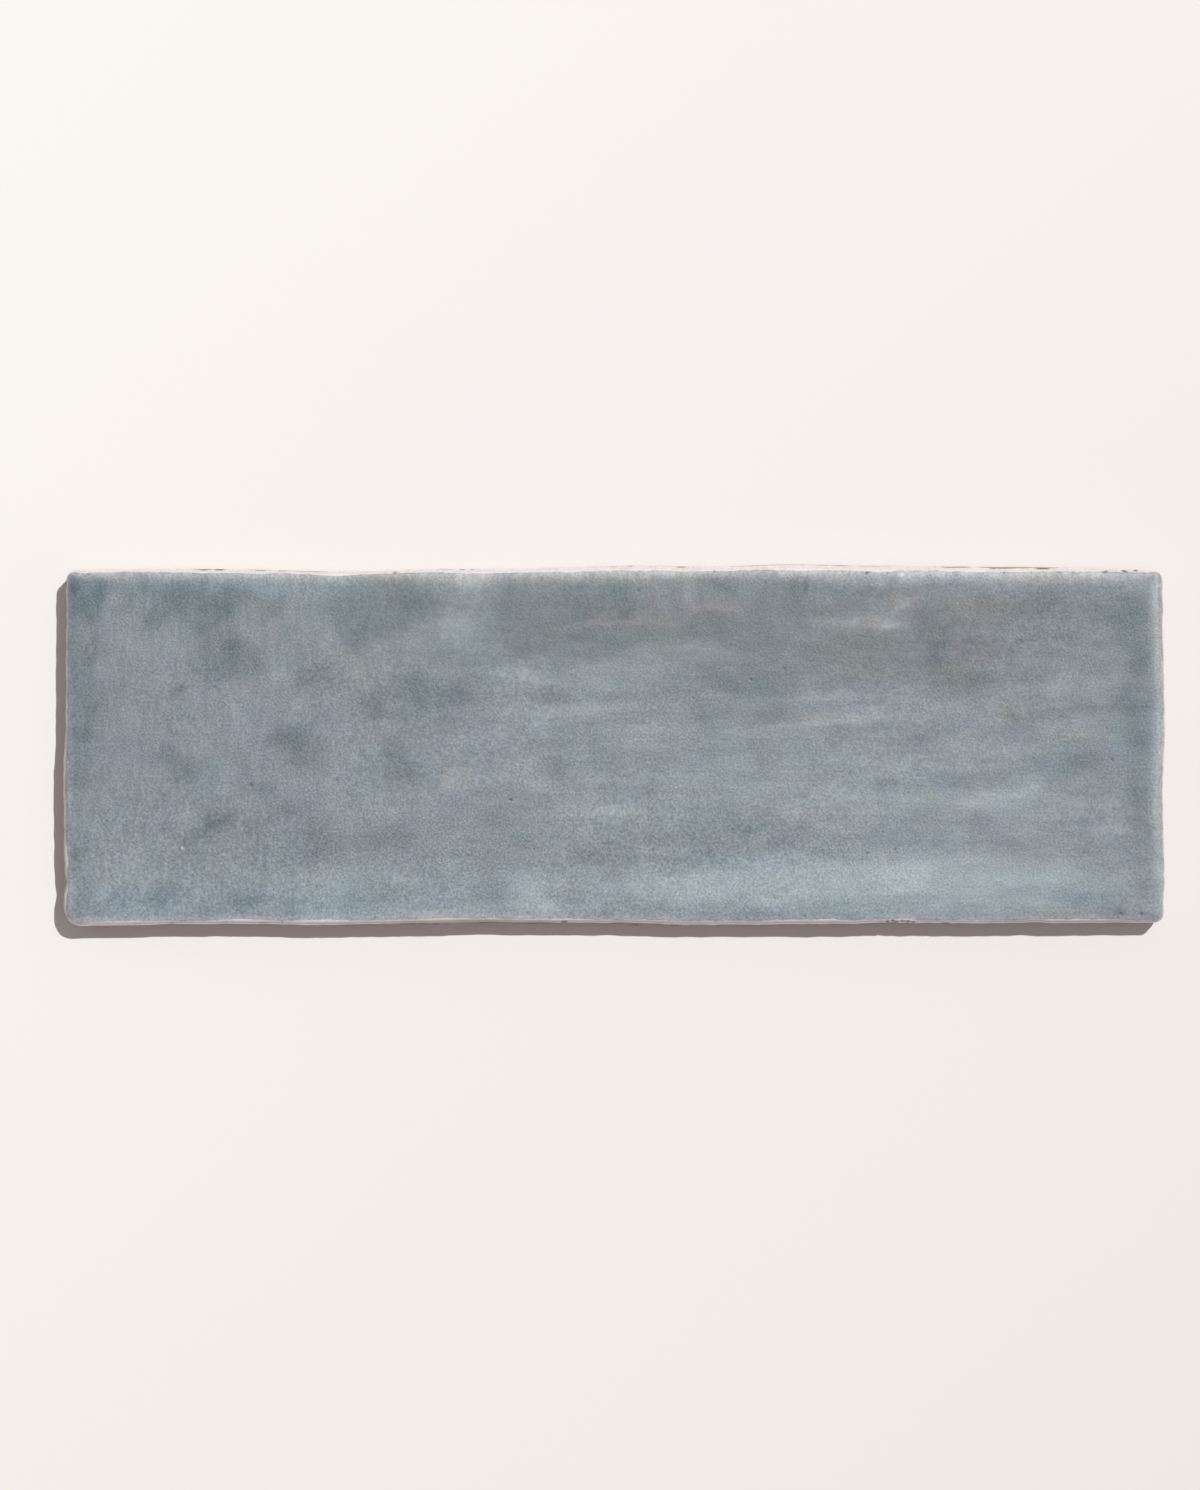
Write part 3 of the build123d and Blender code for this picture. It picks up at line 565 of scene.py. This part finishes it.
tones = brushed(drifted, glazeStrokes["washesAndEdgeShade"], hardness=2)
tones = brushed(drifted, glazeStrokes["darkCloudsAndEdgeShade"] + glazeStrokes["paleStreaks"], ground=tones)
tones *= glazeStrokes["cloudStrength"]
for side, far, paler in glazeStrokes["edgePale"]:
    fromEdge = halfWidth - side * places[:, 1]
    tones += paler * np.clip((far - fromEdge) / glazeStrokes["edgePaleOver"], 0, 1)
tones = brushed(places, glazeStrokes["brushMarks"], ground=tones)
dots = [(x, y, radius, radius, 0, tone) for x, y, radius, _, tone in glazeCoat["specksAndGlints"]]
tones = brushed(places, dots, hardness=2, ground=tones)
darker = np.maximum(0, -tones)
bluer, greener = glazeStrokes["darkTeal"]
paint("glazeTone", tones)
paint("glazeTint", brushed(drifted, glazeStrokes["tints"]) - bluer * darker)
paint("glazeGreen", brushed(drifted, glazeStrokes["greens"]) + greener * darker)
paint("grainShow", brushed(drifted, glazeStrokes["grainAreas"], hardness=2))
paint("brushAlong", brushed(drifted, glazeStrokes["downBrushed"], hardness=2, ground=1))
paint("bareEdge", np.array([bareClay(x, y) for x, y, _ in places]))
further = brushed(places, glazeStrokes["frostAndSheenPatches"], hardness=2, ground=1)
stronger = brushed(places, glazeStrokes["frostAndSheenStrengths"], hardness=2, ground=1)
frostsAndSheen = [edgeFrostAndSheen(p[0], p[1], *rest) for p, *rest in zip(places, insets, further, stronger)]
paint("edgeFrostAndSheen", np.array(frostsAndSheen))
drop, dropVary, dropLength = edgeScarsAndShade["drop"]
wallReach = np.array([drop + dropVary * noise.noise(Vector(p) / dropLength) for p in places])
# chips and brown scars, with the painted shade under the lower rim
brownAndShade = np.maximum(scarredAndShaded(), brushed(places, glazeCoat["chips"], hardness=2))
paint("edgeScarAndShade", brownAndShade * np.clip((insets + wallReach) / edgeScarsAndShade["dropSoft"], 0, 1))


def linear(hexText):  # sRGB hex to linear colour
    parts = [int(hexText[k:k + 2], 16) / 255 for k in (0, 2, 4)]
    return [c / 12.92 if c <= 0.04045 else ((c + 0.055) / 1.055) ** 2.4 for c in parts] + [1.0]


def addNode(tree, kind, inputs=None, stops=None, **settings):
    node = tree.nodes.new(kind)
    for name, value in settings.items():
        setattr(node, name, value)
    for socket, value in (inputs or {}).items():
        if isinstance(value, bpy.types.NodeSocket):
            tree.links.new(value, node.inputs[socket])
        else:
            node.inputs[socket].default_value = value
    if stops:
        elements = node.color_ramp.elements
        while len(elements) < len(stops):
            elements.new(1.0)
        for element, (position, hexText) in zip(elements, stops):
            element.position = position
            element.color = linear(hexText)
    return node


# A Mix node's sockets share their names, so they go by number
floatA, floatB, floatMixed = 2, 3, 0
colourA, colourB, colourMixed = 6, 7, 2


def newMaterial(name):
    material = bpy.data.materials.new(name)
    material.use_nodes = True
    material.node_tree.nodes.clear()
    return material, material.node_tree


clayLook = {
    "mottle": 4.0,  # size of the soft blotches
    "grit": 0.6,  # grog is finer than this, drawn coarser so that it shows
    "gritShare": 0.5,  # of the grit in the colour, beside the blotches
    "gritRelief": 0.15,
    "gritStrength": 0.5,
    "stops": (0.3, 0.5, 0.7),  # where the three colours below come on the noise
    "slip": ["ded3d0", "eee6e4", "f6f0ef"],  # dark, body and pale: the white slip along the rim
    "wall": ["b4a5a0", "c6b8b3", "d3c7c2"],  # and the bare clay of the sides and back, painted darker than the rim's clay so that the sides throw less light on to the floor
    "scarAndShade": "6a5147",  # where the edge broke, and painted shade under the lower rim
    "roughness": 0.85,
}


def claySurface(tree, place, colours):
    # Biscuit-fired clay: dry and chalky, pinkish cream, with fine grog and small pits
    mottleScale = 1 / (clayLook["mottle"] * mm)
    gritScale = 1 / (clayLook["grit"] * mm)
    mottle = addNode(tree, "ShaderNodeTexNoise", {"Vector": place, "Scale": mottleScale, "Detail": 4.0})
    grit = addNode(tree, "ShaderNodeTexNoise", {"Vector": place, "Scale": gritScale, "Detail": 2.0})
    both = addNode(
        tree, "ShaderNodeMix",
        {"Factor": clayLook["gritShare"], floatA: mottle.outputs["Fac"], floatB: grit.outputs["Fac"]},
        data_type="FLOAT",
    )
    stops = list(zip(clayLook["stops"], colours))
    body = addNode(tree, "ShaderNodeValToRGB", {"Fac": both.outputs[floatMixed]}, stops=stops)
    return body.outputs["Color"], grit.outputs["Fac"]


# mixes in the brown of chips and scars, and the painted shade under the lower rim
def withScarsAndShade(tree, colour):
    scarAndShade = addNode(tree, "ShaderNodeAttribute", attribute_name="edgeScarAndShade")
    mixed = addNode(
        tree, "ShaderNodeMix",
        {"Factor": scarAndShade.outputs["Fac"], colourA: colour, colourB: linear(clayLook["scarAndShade"])}, data_type="RGBA",
    )
    return mixed.outputs[colourMixed]


def biscuitClay():
    material, tree = newMaterial("biscuitClay")
    place = addNode(tree, "ShaderNodeTexCoord").outputs["Object"]
    colour, grit = claySurface(tree, place, clayLook["wall"])
    bump = addNode(
        tree, "ShaderNodeBump",
        {"Height": grit, "Strength": clayLook["gritStrength"], "Distance": clayLook["gritRelief"] * mm},
    )
    shader = addNode(
        tree, "ShaderNodeBsdfPrincipled",
        {
            "Base Color": withScarsAndShade(tree, colour),
            "Roughness": clayLook["roughness"], "Normal": bump.outputs["Normal"],
        },
    )
    addNode(tree, "ShaderNodeOutputMaterial", {"Surface": shader.outputs["BSDF"]})
    return material


glazeLook = {
    "noises": {  # size, detail and roughness
        "grain": (0.42, 2.0, 0.6),  # crystals
        "blotch": (3.4, 3.0, 0.6),  # soft blotches all over
        "patch": (6.0, 2.0, 0.5),  # patches of tint are larger and softer
        "ragged": (1.6, 4.0, 0.5),  # bites out of the broken edge
    },
    "streaks": {  # the brush's drag marks down the tile and along it: size in X, Y and Z
        "down": (1.0, 4.0, 1.0),
        "along": (11.0, 1.8, 1.0),
    },
    "streakDetail": 3.0,
    "swings": {  # how far the noise takes the tone and the tint, either way
        "streakTone": 15.0, "blotchTone": 15.0, "grainTone": 41.0,
        "grainTint": 7.0, "patchTint": 7.0, "patchGreen": 4.5,
    },
    "ranges": {"glazeTone": 60.0, "glazeTint": 13.0, "glazeGreen": 4.5},  # from the middle to the end colours
    "stops": (0.0, 0.283, 0.5, 0.717, 1.0),  # where the five colours below come on the tone
    "blue": ["384a58", "60717e", "7b8a97", "95a5b1", "b4c6d2"],  # where the glaze lies thick
    "grey": ["454a4b", "6d7171", "888a8a", "a2a5a4", "c1c6c5"],  # where it lies thin
    "lavender": "fff7ff",  # the coat's cast
    "green": "f7fff7",  # and where it took copper
    "frostAndSheen": ["bbc8cd", "d8c8bb"],  # thin glaze over the pale edge, which also carries painted sheen, where the coat is blue and where it is grey
    "frostAndSheenUneven": {  # what breaks it up: that noise's range, and the shares of the frost that it leaves
        "blotch": (0.0, 1.0, 0.2, 1.8), "down": (0.3, 0.7, 0.8, 1.2), "grain": (0.3, 0.7, 0.6, 1.4),
    },
    "raggedFrom": (0.3, 0.7),  # the range of the noise that the edge follows
    "raggedBy": 0.14,  # and how far it follows it
    "edgeSoft": 0.08,
    "grainRelief": 0.05,
    "roughness": 0.45,
}


def glazeNoises(tree, place):
    noises = {}
    for name, (size, detail, rough) in glazeLook["noises"].items():
        noises[name] = addNode(
            tree, "ShaderNodeTexNoise",
            {"Vector": place, "Scale": 1 / (size * mm), "Detail": detail, "Roughness": rough},
        ).outputs
    for name, sizes in glazeLook["streaks"].items():
        drawnOut = addNode(
            tree, "ShaderNodeMapping", {"Vector": place, "Scale": [1 / (size * mm) for size in sizes]}
        )
        noises[name] = addNode(
            tree, "ShaderNodeTexNoise",
            {"Vector": drawnOut.outputs[0], "Scale": 1.0, "Detail": glazeLook["streakDetail"]},
        ).outputs
    return noises


def coatShares(tree, painted, noises):  # how pale, how warm and how green the coat is, from 0 to 1
    streak = addNode(
        tree, "ShaderNodeMix",
        {"Factor": painted["brushAlong"], floatA: noises["down"]["Fac"], floatB: noises["along"]["Fac"]},
        data_type="FLOAT",
    )
    grains = addNode(tree, "ShaderNodeSeparateColor", {"Color": noises["grain"]["Color"]}).outputs
    patches = addNode(tree, "ShaderNodeSeparateColor", {"Color": noises["patch"]["Color"]}).outputs
    sources = {
        "streakTone": streak.outputs[floatMixed], "blotchTone": noises["blotch"]["Fac"],
        "grainTone": noises["grain"]["Fac"], "grainTint": grains["Green"],
        "patchTint": patches["Green"], "patchGreen": patches["Blue"],
    }
    swings = {}
    for name, source in sources.items():
        by = glazeLook["swings"][name]
        swing = addNode(tree, "ShaderNodeMapRange", {"Value": source, "To Min": -by, "To Max": by})
        swings[name] = swing.outputs[0]
    grainShown = {0: swings["grainTone"], 1: painted["grainShow"]}
    swings["grainTone"] = addNode(tree, "ShaderNodeMath", grainShown, operation="MULTIPLY").outputs[0]
    addedTo = {
        "glazeTone": ("streakTone", "blotchTone", "grainTone"),
        "glazeTint": ("grainTint", "patchTint"),
        "glazeGreen": ("patchGreen",),
    }
    shares = []
    for name, parts in addedTo.items():
        total = painted[name]
        for part in parts:
            total = addNode(tree, "ShaderNodeMath", {0: total, 1: swings[part]}, operation="ADD").outputs[0]
        far = glazeLook["ranges"][name]
        share = addNode(tree, "ShaderNodeMapRange", {"Value": total, "From Min": -far, "From Max": far})
        shares.append(share.outputs[0])
    return shares


def coatColour(tree, pale, warm, green):
    look = glazeLook
    blue = addNode(tree, "ShaderNodeValToRGB", {"Fac": pale}, stops=list(zip(look["stops"], look["blue"])))
    grey = addNode(tree, "ShaderNodeValToRGB", {"Fac": pale}, stops=list(zip(look["stops"], look["grey"])))
    ground = addNode(
        tree, "ShaderNodeMix",
        {"Factor": warm, colourA: blue.outputs["Color"], colourB: grey.outputs["Color"]}, data_type="RGBA",
    )
    cast = addNode(
        tree, "ShaderNodeMix",
        {"Factor": green, colourA: linear(look["lavender"]), colourB: linear(look["green"])},
        data_type="RGBA",
    )
    coat = addNode(
        tree, "ShaderNodeMix",
        {"Factor": 1.0, colourA: ground.outputs[colourMixed], colourB: cast.outputs[colourMixed]},
        data_type="RGBA", blend_type="MULTIPLY",
    )
    return coat.outputs[colourMixed]


def withFrostAndSheen(tree, coat, warm, frostAndSheen, noises):  # the coat breaks pale along the edges, with painted sheen on those that face the lamp
    for name, (low, high, least, most) in glazeLook["frostAndSheenUneven"].items():
        uneven = addNode(
            tree, "ShaderNodeMapRange",
            {
                "Value": noises[name]["Fac"], "From Min": low, "From Max": high,
                "To Min": least, "To Max": most,
            },
        )
        product = addNode(tree, "ShaderNodeMath", {0: frostAndSheen, 1: uneven.outputs[0]}, operation="MULTIPLY")
        frostAndSheen = product.outputs[0]
    overBlue, overGrey = [linear(hexText) for hexText in glazeLook["frostAndSheen"]]
    colour = addNode(
        tree, "ShaderNodeMix", {"Factor": warm, colourA: overBlue, colourB: overGrey}, data_type="RGBA"
    )
    frostedWithSheen = addNode(
        tree, "ShaderNodeMix",
        {"Factor": frostAndSheen, colourA: coat, colourB: colour.outputs[colourMixed]}, data_type="RGBA",
    )
    return frostedWithSheen.outputs[colourMixed]


def coatCover(tree, painted, noises):  # 1 on the glaze and 0 on bare clay, with a ragged line between them
    low, high = glazeLook["raggedFrom"]
    by = glazeLook["raggedBy"]
    soft = glazeLook["edgeSoft"]
    bites = addNode(
        tree, "ShaderNodeMapRange",
        {"Value": noises["ragged"]["Fac"], "From Min": low, "From Max": high, "To Min": -by, "To Max": by},
    )
    past = addNode(
        tree, "ShaderNodeMath", {0: painted["rimInset"], 1: painted["bareEdge"]}, operation="SUBTRACT"
    )
    edge = addNode(tree, "ShaderNodeMath", {0: past.outputs[0], 1: bites.outputs[0]}, operation="ADD")
    cover = addNode(
        tree, "ShaderNodeMapRange", {"Value": edge.outputs[0], "From Min": -soft, "From Max": soft}
    )
    return cover.outputs[0]


def satinGlaze():
    # Satin reactive glaze, brushed on and fired: slate blue where it lies thick, warm grey where it is thin,
    # breaking pale along the edges, partly as painted sheen, with a fine crystal grain and a soft sheen
    material, tree = newMaterial("satinGlaze")
    place = addNode(tree, "ShaderNodeTexCoord").outputs["Object"]
    painted = {}
    for name in (
        "glazeTone", "glazeTint", "glazeGreen", "grainShow",
        "brushAlong", "bareEdge", "edgeFrostAndSheen", "rimInset",
    ):
        painted[name] = addNode(tree, "ShaderNodeAttribute", attribute_name=name).outputs["Fac"]
    noises = glazeNoises(tree, place)
    pale, warm, green = coatShares(tree, painted, noises)
    coat = coatColour(tree, pale, warm, green)
    frostedWithSheen = withFrostAndSheen(tree, coat, warm, painted["edgeFrostAndSheen"], noises)
    clay, _ = claySurface(tree, place, clayLook["slip"])
    cover = coatCover(tree, painted, noises)
    colour = addNode(
        tree, "ShaderNodeMix", {"Factor": cover, colourA: clay, colourB: frostedWithSheen}, data_type="RGBA"
    )
    rough = addNode(
        tree, "ShaderNodeMapRange",
        {"Value": cover, "To Min": clayLook["roughness"], "To Max": glazeLook["roughness"]},
    )
    bump = addNode(
        tree, "ShaderNodeBump",
        {"Height": noises["grain"]["Fac"], "Strength": 1.0, "Distance": glazeLook["grainRelief"] * mm},
    )
    shader = addNode(
        tree, "ShaderNodeBsdfPrincipled",
        {
            "Base Color": withScarsAndShade(tree, colour.outputs[colourMixed]),
            "Roughness": rough.outputs[0], "Normal": bump.outputs["Normal"],
        },
    )
    addNode(tree, "ShaderNodeOutputMaterial", {"Surface": shader.outputs["BSDF"]})
    return material


print("tile: materials")
tileMesh.materials.append(satinGlaze())
tileMesh.materials.append(biscuitClay())
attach(tile, "root")
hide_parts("tile")

# Stage: a pale floor, one hard lamp from the upper right and a soft sky
stageSet = {
    "floorSize": 6.0,
    "floorDrop": 0.02,  # mm, so that the floor stays clear of the foot
    "floorNear": "fcfbf7",
    "floorFar": "f1ebe8",
    "floorFade": (1.835, -2.222, 0.0),  # how the floor's colour changes, in shares a metre
    "floorMiddle": 0.5,  # and its share at the tile's middle
    "floorBounce": "b0aaa7",  # what the floor throws back on to the tile's sides
    "sunFrom": (0.325, 0.352, 1.0),
    "sunStrength": 2.45,
    "sunAngle": 1.2,
    "skyStrength": 0.29,
    "skyColour": "fff6f8",
}


def paleFloor():
    # Smooth matt paper: off-white, a little darker towards the lower right, with no gloss
    material, tree = newMaterial("paleFloor")
    place = addNode(tree, "ShaderNodeTexCoord").outputs["Object"]
    across = addNode(
        tree, "ShaderNodeVectorMath", {0: place, 1: stageSet["floorFade"]}, operation="DOT_PRODUCT"
    )
    share = addNode(
        tree, "ShaderNodeMath", {0: across.outputs["Value"], 1: stageSet["floorMiddle"]}, operation="ADD"
    )
    seen = addNode(
        tree, "ShaderNodeValToRGB", {"Fac": share.outputs[0]},
        stops=[(0.0, stageSet["floorNear"]), (1.0, stageSet["floorFar"])],
    )
    rays = addNode(tree, "ShaderNodeLightPath").outputs
    seenBy = rays["Is Camera Ray"]
    for name in ("Is Glossy Ray", "Is Transmission Ray"):
        seenBy = addNode(tree, "ShaderNodeMath", {0: seenBy, 1: rays[name]}, operation="MAXIMUM").outputs[0]
    colour = addNode(
        tree, "ShaderNodeMix",
        {"Factor": seenBy, colourA: linear(stageSet["floorBounce"]), colourB: seen.outputs["Color"]},
        data_type="RGBA",
    )
    shader = addNode(
        tree, "ShaderNodeBsdfPrincipled",
        {"Base Color": colour.outputs[colourMixed], "Roughness": 1.0, "Specular IOR Level": 0.0},
    )
    addNode(tree, "ShaderNodeOutputMaterial", {"Surface": shader.outputs["BSDF"]})
    return material


print("stage: floor, lights and camera")
bm = bmesh.new()
bmesh.ops.create_grid(bm, x_segments=1, y_segments=1, size=stageSet["floorSize"] / 2)
floorMesh = bpy.data.meshes.new("floor")
bm.to_mesh(floorMesh)
bm.free()
floor = bpy.data.objects.new("floor", floorMesh)
floor.location.z = -stageSet["floorDrop"] * mm
floorMesh.materials.append(paleFloor())
bpy.context.scene.collection.objects.link(floor)

sunData = bpy.data.lights.new("sun", "SUN")
sunData.energy = stageSet["sunStrength"]
sunData.angle = math.radians(stageSet["sunAngle"])
sun = bpy.data.objects.new("sun", sunData)
sun.rotation_euler = Vector(stageSet["sunFrom"]).to_track_quat("Z", "Y").to_euler()
bpy.context.scene.collection.objects.link(sun)

world = bpy.data.worlds.new("sky")
bpy.context.scene.world = world
world.use_nodes = True
tree = world.node_tree
tree.nodes.clear()
sky = addNode(
    tree, "ShaderNodeBackground",
    {"Color": linear(stageSet["skyColour"]), "Strength": stageSet["skyStrength"]},
)
addNode(tree, "ShaderNodeOutputWorld", {"Surface": sky.outputs[0]})

photoView = {
    "pixelsPerMm": 5.5,
    "photoSize": (1200, 1490),
    "tileCentre": (613.75, 745.25),  # where the tile's middle is in the photo, in pixels
    "lens": 200.0,
}
cameraData = bpy.data.cameras.new("camera")
cameraData.lens = photoView["lens"]
camera = bpy.data.objects.new("camera", cameraData)
perMm = photoView["pixelsPerMm"]
photoWidth, photoHeight = photoView["photoSize"]
centreX, centreY = photoView["tileCentre"]
offX = (photoWidth / 2 - centreX) / perMm * mm
offY = (centreY - photoHeight / 2) / perMm * mm
distance = photoHeight / perMm * mm / cameraData.sensor_width * cameraData.lens
camera.location = (offX, offY, cadBox[1].z + distance)
bpy.context.scene.collection.objects.link(camera)
bpy.context.scene.camera = camera
bpy.context.scene.view_settings.view_transform = "Standard"
